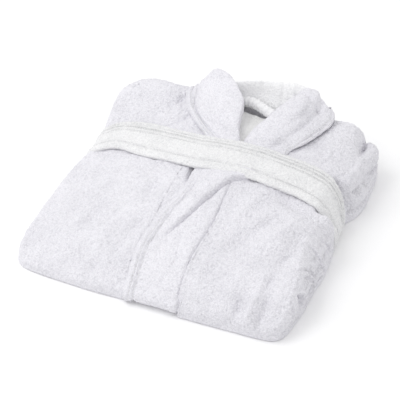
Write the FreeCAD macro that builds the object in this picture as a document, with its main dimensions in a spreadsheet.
import FreeCAD, Part
import os
import Sketcher

# Folded terry bathrobe with a shawl collar.
# The robe lies face up. +Y points to the collar, -Y to the front fold, +X to the wearer's left,
# +Z up. The origin is on the resting plane, at the centre of the folded footprint.
# The robe's length is folded in three: the chest third is on top, the front fold turns it under,
# the middle third lies underneath, and the hem third is folded in between them.

os.makedirs("parts", exist_ok=True)
doc = FreeCAD.newDocument("bathrobe")
Vector = FreeCAD.Vector

# ---------------------------------------------------------------- driving dimensions
DIMENSIONS = [
    ("half_width", 197.0, "half of the folded width"),
    ("front_y", -205.8, "front fold, outermost"),
    ("back_y", 188.0, "shoulder end of the top layers"),
    ("cloth", 4.0, "one layer of terry"),
    ("pitch", 4.5, "layer to layer distance"),
    ("base_z", 5.4, "underside of the lowest panel layer over the pockets and the belt"),
    ("sag_z", 2.1, "underside of the lowest panel layer in front of the pockets"),
    ("sag_y", -44.0, "where the lowest layer starts to rise onto the pockets"),
    ("rear_turn_y", 176.0, "centre of the rear fold"),
    ("hem_y", -96.0, "where the folded-in hem third ends"),
    ("band_in", 43.0, "seam of the front band to its panel"),
    ("band_out", -28.0, "free edge of the wearer's left band"),
    ("belt_width", 56.0, "width of the belt"),
    ("belt_top_t", 6.5, "belt thickness over the top"),
    ("belt_side_t", 4.6, "belt thickness at the sides"),
    ("belt_low_t", 1.8, "belt thickness under the load"),
    ("belt_y", 44.0, "belt centre line at the middle"),
    ("belt_skew", -0.117, "slope of the belt across the robe"),
    ("belt_side", 199.0, "inner face of the belt at the sides"),
    ("pocket_in", 56.0, "inner edge of a patch pocket"),
    ("pocket_w", 130.0, "width of a patch pocket"),
    ("pocket_l", 168.0, "length of a patch pocket"),
    ("pocket_t", 2.9, "thickness of a patch pocket"),
    ("pocket_y", -28.0, "edge of a patch pocket nearest the front fold"),
    ("pocket_z", 2.1, "underside of a patch pocket"),
    ("sleeve_w", 90.0, "folded sleeve width"),
    ("sleeve_t", 8.0, "folded sleeve thickness"),
    ("sleeve_wall", 3.2, "sleeve cloth"),
    ("cuff_len", 62.0, "turned-back cuff length"),
    ("cuff_wall", 2.8, "cuff cloth"),
    ("cuff_gap", 0.25, "between a cuff and its sleeve"),
    ("loop_w", 12.0, "belt loop tape width"),
    ("loop_t", 1.4, "belt loop tape thickness"),
    ("loop_len", 46.0, "belt loop length"),
    ("cord_d", 6.8, "hanger loop cord diameter"),
    ("hang_w", 58.0, "hanger loop width between sewn ends"),
    ("hang_l", 7.0, "hanger loop rise at its middle"),
    ("tape_t", 1.6, "neck tape thickness"),
    ("tape_w", 14.0, "neck tape width"),
    ("tape_l", 78.0, "neck tape length"),
    ("stand_t", 4.6, "collar stand thickness"),
    ("lapel_t", 6.5, "lapel and collar fall, two layers of terry"),
]
sheet = doc.addObject("Spreadsheet::Sheet", "Dimensions")
for row, (alias, value, note) in enumerate(DIMENSIONS, start=1):
    sheet.set(f"A{row}", note)
    sheet.set(f"B{row}", str(value))
    sheet.setAlias(f"B{row}", alias)
doc.recompute()
size = {alias: float(getattr(sheet, alias)) for alias, _, _ in DIMENSIONS}

HALF_WIDTH = size["half_width"]
CLOTH = size["cloth"]
PITCH = size["pitch"]
BASE_Z = size["base_z"]
BACK_Y = size["back_y"]


# ---------------------------------------------------------------- parts and sketches
parts = []


def add_part(name, shape):
    part = doc.addObject("Part::Feature", name)
    part.Shape = shape
    part.Label = name
    parts.append(part)


def bound(*aliases, add=0.0, sign=1):
    """sign * (add + the named dimensions), as a number and as an expression."""
    number = sign * (add + sum(size[alias] for alias in aliases))
    cells = " + ".join(f"Dimensions.{alias}" for alias in aliases)
    return number, f"{sign} * ({add} + {cells})"


def constrained_polygon(sketch, points):
    """Closed polygon. Each coordinate is a number or a bound() pair."""
    points = [[c if isinstance(c, tuple) else (c, None) for c in point] for point in points]
    corners = [Vector(x[0], y[0], 0) for x, y in points]
    count = len(points)
    for i in range(count):
        sketch.addGeometry(Part.LineSegment(corners[i], corners[(i + 1) % count]), False)
    for i in range(count):
        sketch.addConstraint(Sketcher.Constraint("Coincident", i, 2, (i + 1) % count, 1))
    for i, point in enumerate(points):
        for kind, (number, expression) in zip(("DistanceX", "DistanceY"), point):
            index = sketch.addConstraint(Sketcher.Constraint(kind, i, 1, float(number)))
            if expression:
                sketch.setExpression(f"Constraints[{index}]", expression)


def add_padded_body(name, plane_role, points, offset, thickness):
    """Polygon on an origin plane moved by the bound() pair offset, padded by an alias."""
    body = doc.addObject("PartDesign::Body", name)
    plane = next(f for f in body.Origin.OriginFeatures if f.Role == plane_role)
    sketch = body.newObject("Sketcher::SketchObject", name + "_outline")
    sketch.AttachmentSupport = [(plane, "")]
    sketch.MapMode = "FlatFace"
    constrained_polygon(sketch, points)
    distance, expression = offset
    sketch.AttachmentOffset = FreeCAD.Placement(Vector(0, 0, distance), FreeCAD.Rotation())
    sketch.setExpression("AttachmentOffset.Base.z", expression)
    pad = body.newObject("PartDesign::Pad", sketch.Name + "_pad")
    pad.Profile = sketch
    pad.Length = size[thickness]
    pad.setExpression("Length", f"Dimensions.{thickness}")
    body.Label = name
    parts.append(body)


# ---------------------------------------------------------------- shape helpers
def closed_wire(points):
    return Part.makePolygon(points + points[:1])


def loft(wires):
    """Solid with straight sides between the wires."""
    return Part.makeLoft(wires, True, True)


def prism(outline, z_low, z_high):
    wire = closed_wire([Vector(x, y, z_low) for x, y in outline])
    return Part.Face(wire).extrude(Vector(0, 0, z_high - z_low))


def box(x_low, x_high, y_low, y_high, z_low, z_high):
    corners = [(x_low, y_low), (x_low, y_high), (x_high, y_high), (x_high, y_low)]
    return prism(corners, z_low, z_high)


# ---------------------------------------------------------------- the folded stack
# Height of the top surface over the resting plane: a row for each x, a column for each y.
GRID_X = [-197.0, -150.0, -100.0, -43.0, 0.0, 45.0, 100.0, 150.0, 197.0]
GRID_Y = [-180.0, -140.0, -100.0, -50.0, 0.0, 50.0, 100.0, 150.0, 190.0]
GRID_Z = [
    [22.0, 23.0, 24.0, 27.0, 31.0, 36.0, 42.0, 48.0, 52.0],
    [24.0, 28.0, 33.0, 39.0, 45.0, 50.0, 55.0, 60.0, 61.0],
    [26.0, 34.0, 42.0, 50.0, 57.0, 63.0, 66.0, 67.0, 66.0],
    [29.0, 40.0, 51.0, 61.0, 69.0, 74.0, 76.0, 76.0, 74.0],
    [31.0, 45.0, 57.0, 67.0, 74.0, 78.0, 79.0, 79.0, 76.0],
    [31.0, 48.0, 60.0, 70.0, 76.0, 79.0, 80.0, 80.0, 77.0],
    [30.0, 48.0, 60.0, 69.0, 75.0, 78.0, 79.0, 78.0, 75.0],
    [29.0, 46.0, 57.0, 66.0, 72.0, 75.0, 76.0, 74.0, 70.0],
    [27.0, 42.0, 52.0, 60.0, 65.0, 68.0, 68.0, 64.0, 58.0],
]
SAG_RISE_RUN = 9.0  # length in y of the slope from sag_z up to base_z
REAR_EASE = 0.25  # the folded-in hem lies this much lower than a true half circle leaves it
TOP_END_MARGIN = 6.0  # grid lines nearer than this to an end of the top are left out


def grid_interval(axis, value):
    """Index of the interval that holds value, and the share of it that lies before value."""
    value = min(max(value, axis[0]), axis[-1])
    i = next(i for i in range(len(axis) - 1) if value <= axis[i + 1])
    return i, (value - axis[i]) / (axis[i + 1] - axis[i])


def top_z(x, y):
    i, x_share = grid_interval(GRID_X, x)
    j, y_share = grid_interval(GRID_Y, y)
    low = GRID_Z[i][j] * (1 - y_share) + GRID_Z[i][j + 1] * y_share
    high = GRID_Z[i + 1][j] * (1 - y_share) + GRID_Z[i + 1][j + 1] * y_share
    return low * (1 - x_share) + high * x_share


def section(x, level, top_end_y, rear_levels):
    """Cross-section of a cloth layer in the plane X = x: over the top, round the front fold and
    back along the underside. With rear_levels, the radius of the rear fold in pitches, it also
    goes round the rear fold and forward as the hem third. level counts from the outside."""
    front_z = top_z(x, GRID_Y[0])
    front_radius = (front_z - size["sag_z"]) / 2.0
    front_turn_y = size["front_y"] + front_radius
    front_turn_z = size["sag_z"] + front_radius
    rear_y = size["rear_turn_y"]
    rear_radius = rear_levels * PITCH
    rear_turn_z = BASE_Z + rear_radius
    first, last = front_turn_y + TOP_END_MARGIN, top_end_y - TOP_END_MARGIN
    top_ys = [top_end_y] + [y for y in reversed(GRID_Y) if first < y < last]

    def arc(*yz_points):
        return Part.Arc(*[Vector(x, y, z) for y, z in yz_points]).toShape()

    def face_line(inset):
        """Edges of one face of the cloth, with their first and last points."""
        top = [Vector(x, y, top_z(x, y) - inset) for y in top_ys]
        top.append(Vector(x, front_turn_y, front_z - inset))
        edges = [Part.makeLine(a, b) for a, b in zip(top, top[1:])]
        radius = front_radius - inset
        edges.append(arc(
            (front_turn_y, front_turn_z + radius),
            (front_turn_y - radius, front_turn_z),
            (front_turn_y, front_turn_z - radius),
        ))
        low = [
            Vector(x, front_turn_y, size["sag_z"] + inset),
            Vector(x, size["sag_y"], size["sag_z"] + inset),
            Vector(x, size["sag_y"] + SAG_RISE_RUN, BASE_Z + inset),
            Vector(x, rear_y, BASE_Z + inset),
        ]
        edges += [Part.makeLine(a, b) for a, b in zip(low, low[1:])]
        if not rear_levels:
            return edges, top[0], low[-1]
        rise = rear_radius - inset - REAR_EASE
        hem_z = rear_turn_z + rise
        hem_end = Vector(x, size["hem_y"], hem_z)
        edges.append(arc(
            (rear_y, BASE_Z + inset), (rear_y + rise + REAR_EASE, rear_turn_z), (rear_y, hem_z)
        ))
        edges.append(Part.makeLine(Vector(x, rear_y, hem_z), hem_end))
        return edges, top[0], hem_end

    outer, outer_start, outer_end = face_line(level * PITCH)
    inner, inner_start, inner_end = face_line(level * PITCH + CLOTH)
    edges = outer + [Part.makeLine(outer_end, inner_end)]
    edges += list(reversed(inner)) + [Part.makeLine(inner_start, outer_start)]
    return Part.Wire(Part.__sortEdges__(edges))


def stepped_layer(stations, top_end_y, rear_levels=0):
    """Layer of cloth across the robe. stations: (x, level)."""
    return loft([section(x, level, top_end_y, rear_levels) for x, level in stations])


def layer(xs, level, top_end_y, rear_levels=0):
    return stepped_layer([(x, level) for x in xs], top_end_y, rear_levels)


# ---------------------------------------------------------------- front panels
PANEL_SEAM = size["band_in"] + 1.5  # inner edge of a front panel, clear of the band
BEYOND_Y = 230.0  # past the rear of the robe
HEM_ZONE_Y = size["hem_y"] - 1
CHEST_FRONT_Y = 76.0  # the right panel crosses the middle only behind this line
CHEST_FAR_X = 33.0
RIGHT_HEM_X = -112.0  # outer edge of the right panel's folded-in hem
SIDE_WALL_Y = -186.0
SIDE_WALL_MARGIN = 4.0  # grid lines nearer than this to an end of a side wall are left out

# The neck opening, through the fronts only: (x, y).
NECK = [
    (27.0, 77.0), (-12.0, 142.0), (-26.0, 160.0), (-26.0, 215.0),
    (100.0, 215.0), (88.0, 160.0), (52.0, 150.0),
]
neck_cut = prism(NECK, 50.0, 160.0)


def side_wall(x_low, x_high):
    """Cloth that closes one side, from the underside to just below the top."""
    y_from, y_to = SIDE_WALL_Y, size["rear_turn_y"]
    first, last = y_from + SIDE_WALL_MARGIN, y_to - SIDE_WALL_MARGIN
    ys = [y_from] + [y for y in GRID_Y if first < y < last] + [y_to]
    z_low = BASE_Z + 0.5
    outline = [Vector(x_low, y_from, z_low)]
    outline += [Vector(x_low, y, top_z(x_high, y) - 1.0) for y in ys]
    outline.append(Vector(x_low, y_to, z_low))
    return Part.Face(closed_wire(outline)).extrude(Vector(x_high - x_low, 0, 0))


def right_front_panel():
    """Wearer's right front. Near the collar it crosses the middle as the chest."""
    panel = layer([-HALF_WIDTH, -150.0, -100.0, -PANEL_SEAM], 0, BACK_Y)
    chest = layer([-PANEL_SEAM, 0.0, CHEST_FAR_X], 0, BACK_Y)
    chest_zone = box(-PANEL_SEAM, 60.0, CHEST_FRONT_Y, BEYOND_Y, 40.0, 120.0)
    chest = chest.common(chest_zone).cut(neck_cut)
    hem = layer([RIGHT_HEM_X, -PANEL_SEAM], 0, BACK_Y, rear_levels=2)
    hem_zone = box(RIGHT_HEM_X, -PANEL_SEAM, HEM_ZONE_Y, BEYOND_Y, 0.0, 24.5)
    wall = side_wall(-HALF_WIDTH, -HALF_WIDTH + CLOTH)
    return panel.fuse([chest, hem.common(hem_zone), wall]).removeSplitter()


def left_front_panel():
    panel = layer([PANEL_SEAM, 100.0, 150.0, HALF_WIDTH], 0, BACK_Y, rear_levels=2)
    wall = side_wall(HALF_WIDTH - CLOTH, HALF_WIDTH)
    return panel.cut(neck_cut).fuse(wall).removeSplitter()


add_part("right_front_panel", right_front_panel())
add_part("left_front_panel", left_front_panel())

# ---------------------------------------------------------------- front bands
# The bands are the shawl collar carried on down the two front edges. The wearer's left one
# lies on top.
BAND_SEAM = size["band_in"] + 0.9
BAND_END_Y = 71.0
add_part("left_front_band", layer([size["band_out"], 0.0, BAND_SEAM], 0, BAND_END_Y, 3))
add_part("right_front_band", layer([-BAND_SEAM, 0.0, BAND_SEAM], 1, BAND_END_Y, 3))

# ---------------------------------------------------------------- back panel
BACK_SEAM = size["band_in"] + 1.2
BACK_HALF_WIDTH = HALF_WIDTH - CLOTH - 1.2
# Across the back: (x, level). It drops a level under the front bands.
BACK_STATIONS = [
    (-BACK_HALF_WIDTH, 1), (-112.0, 1), (-62.0, 1), (-BACK_SEAM, 2), (0.0, 2),
    (BACK_SEAM, 2), (62.0, 1), (112.0, 1), (BACK_HALF_WIDTH, 1),
]
# The back's folded-in hem: (x from, x to, level, rear fold levels).
BACK_HEMS = [
    (-111.0, -BACK_SEAM, 1, 2),
    (BACK_SEAM, BACK_HALF_WIDTH, 1, 2),
    (-BACK_SEAM, BACK_SEAM, 2, 3),
]


def back_panel():
    """The back body, inside both fronts."""
    strips = [
        stepped_layer(pair, BACK_Y + 2.0) for pair in zip(BACK_STATIONS, BACK_STATIONS[1:])
    ]
    back = strips[0].fuse(strips[1:])
    hem_zone = box(-BACK_HALF_WIDTH, BACK_HALF_WIDTH, HEM_ZONE_Y, BEYOND_Y, 0.0, 23.6)
    for x_from, x_to, level, rear_levels in BACK_HEMS:
        hem = layer([x_from, x_to], level, BACK_Y, rear_levels)
        back = back.fuse(hem.common(hem_zone))
    return back.removeSplitter()


add_part("back_panel", back_panel())

# ---------------------------------------------------------------- sleeves and cuffs
# Each sleeve is a flattened tube folded in under the chest. They run towards the front fold
# and inwards, and cross in the middle, the right one on top.
SLEEVE_LENGTH = 269.0
SLEEVE_START_X, SLEEVE_START_Y = 150.0, 140.0
SLEEVE_RUN_X, SLEEVE_RUN_Y = 230.0, 140.0
CUFF_SETBACK = 1.0  # from the sleeve's end to the cuff's
TUBE_CHAMFER = 2.6
BORE_OVERRUN = 1.0  # the bore runs past both ends of the tube

SLEEVE_T = size["sleeve_t"]
CUFF_GROWTH = size["cuff_wall"] + size["cuff_gap"]
HEM_TOP_SIDE = BASE_Z + 4 * PITCH - REAR_EASE
HEM_TOP_MIDDLE = BASE_Z + 6 * PITCH - REAR_EASE
SLEEVE_START_Z = HEM_TOP_SIDE + 0.6 + SLEEVE_T / 2.0
LEFT_SLEEVE_Z = HEM_TOP_MIDDLE + 0.25 + CUFF_GROWTH + SLEEVE_T / 2.0
RIGHT_SLEEVE_Z = LEFT_SLEEVE_Z + SLEEVE_T + CUFF_GROWTH + 0.3

# (hand, side of the robe, distance along at which the sleeve levels out, z it levels out at)
SLEEVES = [("left", 1, 86.0, LEFT_SLEEVE_Z), ("right", -1, 94.0, RIGHT_SLEEVE_Z)]


def tube(start, direction, stations, width, thickness, wall):
    """A flattened tube, open at both ends. stations: (distance along, z of the middle)."""
    across = Vector(-direction.y, direction.x, 0.0)

    def solid(inset, overrun):
        high, wide = thickness / 2.0 - inset, width / 2.0 - inset
        chamfer = min(TUBE_CHAMFER, high * 0.6)
        low_wide, low_high = wide - chamfer, high - chamfer
        profile = [
            (-wide, -low_high), (-low_wide, -high), (low_wide, -high), (wide, -low_high),
            (wide, low_high), (low_wide, high), (-low_wide, high), (-wide, low_high),
        ]
        (first, first_z), *middle, (last, last_z) = stations
        wires = []
        for along, z in [(first - overrun, first_z), *middle, (last + overrun, last_z)]:
            centre = start + direction * along + Vector(0, 0, z)
            wires.append(closed_wire([centre + across * a + Vector(0, 0, b) for a, b in profile]))
        return loft(wires)

    return solid(0.0, 0.0).cut(solid(wall, BORE_OVERRUN))


for hand, side, level_at, z in SLEEVES:
    start = Vector(side * SLEEVE_START_X, SLEEVE_START_Y, 0.0)
    direction = Vector(-side * SLEEVE_RUN_X, -SLEEVE_RUN_Y, 0.0).normalize()
    add_part(hand + "_sleeve", tube(
        start, direction, [(0.0, SLEEVE_START_Z), (level_at, z), (SLEEVE_LENGTH, z)],
        size["sleeve_w"], SLEEVE_T, size["sleeve_wall"],
    ))
    add_part(hand + "_cuff", tube(
        start, direction,
        [(SLEEVE_LENGTH - size["cuff_len"], z), (SLEEVE_LENGTH - CUFF_SETBACK, z)],
        size["sleeve_w"] + 2 * CUFF_GROWTH, SLEEVE_T + 2 * CUFF_GROWTH, size["cuff_wall"],
    ))

# ---------------------------------------------------------------- patch pockets
# They lie on the layer that faces down. The two corners towards the collar are cut off.
POCKET_CORNER = 14.0


def add_pocket(hand, side):
    x_in = bound("pocket_in", sign=side)
    x_in_corner = bound("pocket_in", add=POCKET_CORNER, sign=side)
    x_out_corner = bound("pocket_in", "pocket_w", add=-POCKET_CORNER, sign=side)
    x_out = bound("pocket_in", "pocket_w", sign=side)
    y_front = bound("pocket_y")
    y_corner = bound("pocket_y", "pocket_l", add=-POCKET_CORNER)
    y_rear = bound("pocket_y", "pocket_l")
    outline = [
        (x_in, y_front), (x_out, y_front), (x_out, y_corner),
        (x_out_corner, y_rear), (x_in_corner, y_rear), (x_in, y_corner),
    ]
    add_padded_body(hand + "_pocket", "XY_Plane", outline, bound("pocket_z"), "pocket_t")


add_pocket("left", 1)
add_pocket("right", -1)

# ---------------------------------------------------------------- belt loops
# Flat tapes on the side seams.
LOOP_GAP = 0.25  # between a loop and the side of the robe


def add_belt_loop(hand, y, z, x_offset):
    y_end = bound("loop_len", add=y)
    z_end = bound("loop_w", add=z)
    outline = [(y, z), (y_end, z), (y_end, z_end), (y, z_end)]
    add_padded_body(hand + "_belt_loop", "YZ_Plane", outline, x_offset, "loop_t")


add_belt_loop("left", -137.0, 14.0, bound("half_width", add=LOOP_GAP))
add_belt_loop("right", -150.0, 8.0, bound("half_width", "loop_t", add=LOOP_GAP, sign=-1))

# ---------------------------------------------------------------- belt
BELT_XS = [-150.0, -100.0, -70.0, -43.0, -14.0, 0.0, 20.0, 45.0, 70.0, 100.0, 150.0]
BELT_GAP = 0.7  # between the belt and the robe's top
BELT_PROBES = (0.0, 20.0, 40.0)  # where the top is measured, from the belt's rear edge
BELT_Y_FROM, BELT_Y_RUN = -100.0, 300.0  # the ring before it is trimmed to the belt's width
BELT_TRIM_X = 230.0


def belt_centre_y(x):
    return size["belt_y"] + size["belt_skew"] * x


def belt_inner_z(x):
    rear_y = belt_centre_y(x) + size["belt_width"] / 2.0
    return max(top_z(x, rear_y - probe) for probe in BELT_PROBES) + BELT_GAP


def belt():
    """One closed turn round the bundle, slightly askew."""
    inner_x = size["belt_side"]
    outer_x = inner_x + size["belt_side_t"]
    low_z, top_t = size["belt_low_t"], size["belt_top_t"]
    left_z, right_z = belt_inner_z(HALF_WIDTH), belt_inner_z(-HALF_WIDTH)
    top = [(x, belt_inner_z(x)) for x in reversed(BELT_XS)]
    inner = [
        (-inner_x + 2.0, low_z), (inner_x - 2.0, low_z), (inner_x, low_z + 3.0),
        (inner_x, left_z), *top, (-inner_x, right_z), (-inner_x, low_z + 3.0),
    ]
    outer = [
        (-inner_x + 1.0, 0.0), (inner_x - 1.0, 0.0), (outer_x, 5.0),
        (outer_x, left_z + top_t * 0.4), (inner_x - 1.0, left_z + top_t),
        *[(x, z + top_t) for x, z in top],
        (-inner_x + 1.0, right_z + top_t), (-outer_x, right_z + top_t * 0.4), (-outer_x, 5.0),
    ]

    def face(outline):
        return Part.Face(closed_wire([Vector(x, BELT_Y_FROM, z) for x, z in outline]))

    ring = face(outer).cut(face(inner)).extrude(Vector(0, BELT_Y_RUN, 0))
    half = size["belt_width"] / 2.0
    right_y, left_y = belt_centre_y(-BELT_TRIM_X), belt_centre_y(BELT_TRIM_X)
    strip = [
        (-BELT_TRIM_X, right_y - half), (BELT_TRIM_X, left_y - half),
        (BELT_TRIM_X, left_y + half), (-BELT_TRIM_X, right_y + half),
    ]
    return ring.common(prism(strip, -20.0, 160.0))


add_part("belt", belt())

# ---------------------------------------------------------------- lapels and collar fall
# The fall's roll line, from the wearer's right to the left.
FALL_START, FALL_END = Vector(-20.0, 167.0, 112.8), Vector(93.0, 192.5, 112.8)

# (name, ends of the roll line at mid-thickness, [(share of the roll line, free edge point)])
FLAPS = [
    ("left_lapel", Vector(35.0, 80.0, 85.2), Vector(59.0, 160.0, 102.0), [
        (0.0, Vector(103.0, 79.0, 84.8)),
        (0.5, Vector(116.0, 118.0, 90.0)),
        (1.0, Vector(129.0, 166.0, 98.0)),
    ]),
    ("right_lapel", Vector(18.0, 82.0, 86.0), Vector(-25.0, 160.0, 109.0), [
        (0.0, Vector(-28.0, 84.0, 83.4)),
        (0.5, Vector(-64.0, 128.0, 80.0)),
        (1.0, Vector(-96.0, 178.0, 76.0)),
    ]),
    ("collar_back_fall", FALL_START, FALL_END, [
        (0.0, Vector(-25.5, 186.0, 81.5)),
        (1.0, Vector(88.5, 204.65, 79.5)),
    ]),
]


def flap(roll_start, roll_end, stations):
    """A turned-over flap, rounded about its roll line."""
    radius = size["lapel_t"] / 2.0
    roll = roll_end - roll_start
    axis = (roll_end - roll_start).normalize()
    wires = []
    for share, edge in stations:
        root = roll_start + roll * share
        offset = axis.cross(edge - root).normalize() * radius
        wires.append(closed_wire([root + offset, edge + offset, edge - offset, root - offset]))
    rod = Part.makeCylinder(radius, roll.Length, roll_start, axis)
    return loft(wires).fuse(rod).removeSplitter()


for name, roll_start, roll_end, stations in FLAPS:
    add_part(name, flap(roll_start, roll_end, stations))

# ---------------------------------------------------------------- collar stand
# The part of the shawl collar inside the roll lines. It runs up the wearer's left side, round
# the neck and down the right: (x, y, z of the lower edge, z of the upper edge).
STAND = [
    (40.5, 98.0, 80.4, 84.6), (59.5, 161.0, 79.9, 97.4), (96.0, 180.0, 76.6, 101.0),
    (94.3, 187.3, 76.6, 105.6), (86.4, 185.5, 76.6, 107.6), (-11.6, 163.4, 78.4, 107.6),
    (-21.7, 161.2, 78.4, 101.5), (-26.0, 155.5, 78.4, 97.5), (6.5, 103.0, 80.4, 85.6),
]
MITRE_LIMIT = 0.55  # least cosine used, so that sharp corners don't spread


def collar_stand():
    centres = [Vector(x, y, 0) for x, y, _, _ in STAND]
    runs = [(b - a).normalize() for a, b in zip(centres, centres[1:])]
    normals = [Vector(-run.y, run.x, 0) for run in runs]
    wires = []
    for i, (_, _, z_low, z_high) in enumerate(STAND):
        before, after = normals[max(i - 1, 0)], normals[min(i, len(normals) - 1)]
        mitre = (before + after).normalize()
        offset = mitre * ((size["stand_t"] / 2.0) / max(MITRE_LIMIT, mitre.dot(before)))
        left, right = centres[i] + offset, centres[i] - offset
        low, high = Vector(0, 0, z_low), Vector(0, 0, z_high)
        wires.append(closed_wire([left + low, right + low, right + high, left + high]))
    walls = [loft(list(pair)) for pair in zip(wires, wires[1:])]
    return walls[0].fuse(walls[1:]).removeSplitter()


add_part("collar_stand", collar_stand())

# ---------------------------------------------------------------- neck tape and hanger loop
ALONG_NECK = (FALL_END - FALL_START).normalize()
TO_FRONT = Vector(ALONG_NECK.y, -ALONG_NECK.x, 0.0)
NECK_MIDDLE = Vector(36.0, 174.1, 0.0)  # on the centre line of the stand's back run
TAPE_OFFSET = size["stand_t"] / 2.0 + 0.6
TAPE_START = 52.0  # from the neck middle to the tape's right end
TAPE_Z = 79.0
CORD_GAP = 0.9  # between the tape and the cord
HANGER_SHIFT = 17.0  # hanger loop's middle, from the neck middle towards the wearer's right
HANGER_Z = 82.0


def neck_tape():
    """A flat tape that covers the back neck seam."""
    start = NECK_MIDDLE + TO_FRONT * TAPE_OFFSET - ALONG_NECK * TAPE_START
    start += Vector(0, 0, TAPE_Z)
    length = ALONG_NECK * size["tape_l"]
    thickness = TO_FRONT * size["tape_t"]
    outline = [start, start + length, start + length + thickness, start + thickness]
    return Part.Face(closed_wire(outline)).extrude(Vector(0, 0, size["tape_w"]))


def hanger_loop():
    """A thick arched cord in front of the tape."""
    radius = size["cord_d"] / 2.0
    forward = TAPE_OFFSET + size["tape_t"] + CORD_GAP + radius
    middle = NECK_MIDDLE + TO_FRONT * forward - ALONG_NECK * HANGER_SHIFT
    middle += Vector(0, 0, HANGER_Z)
    half_span = ALONG_NECK * (size["hang_w"] / 2.0)
    start = middle - half_span
    crown = middle + Vector(0, 0, size["hang_l"])
    spine = Part.Wire([Part.Arc(start, crown, middle + half_span).toShape()])
    arc = spine.Edges[0]
    tangent = arc.tangentAt(arc.FirstParameter)
    circle = Part.Wire(Part.makeCircle(radius, start, tangent))
    return spine.makePipeShell([circle], True, True)


add_part("neck_tape", neck_tape())
add_part("hanger_loop", hanger_loop())

# ---------------------------------------------------------------- check and write
doc.recompute()
for item in doc.Objects:
    if any(flag in ("Invalid", "Error") for flag in item.State):
        raise RuntimeError(f"{item.Name}: {item.State}")
for part in parts:
    shape = part.Shape
    if shape.isNull() or not shape.isValid() or len(shape.Solids) != 1:
        raise RuntimeError(f"{part.Label}: bad shape, solids {len(shape.Solids)}")
    shape.exportStep(f"parts/{part.Label}.step")
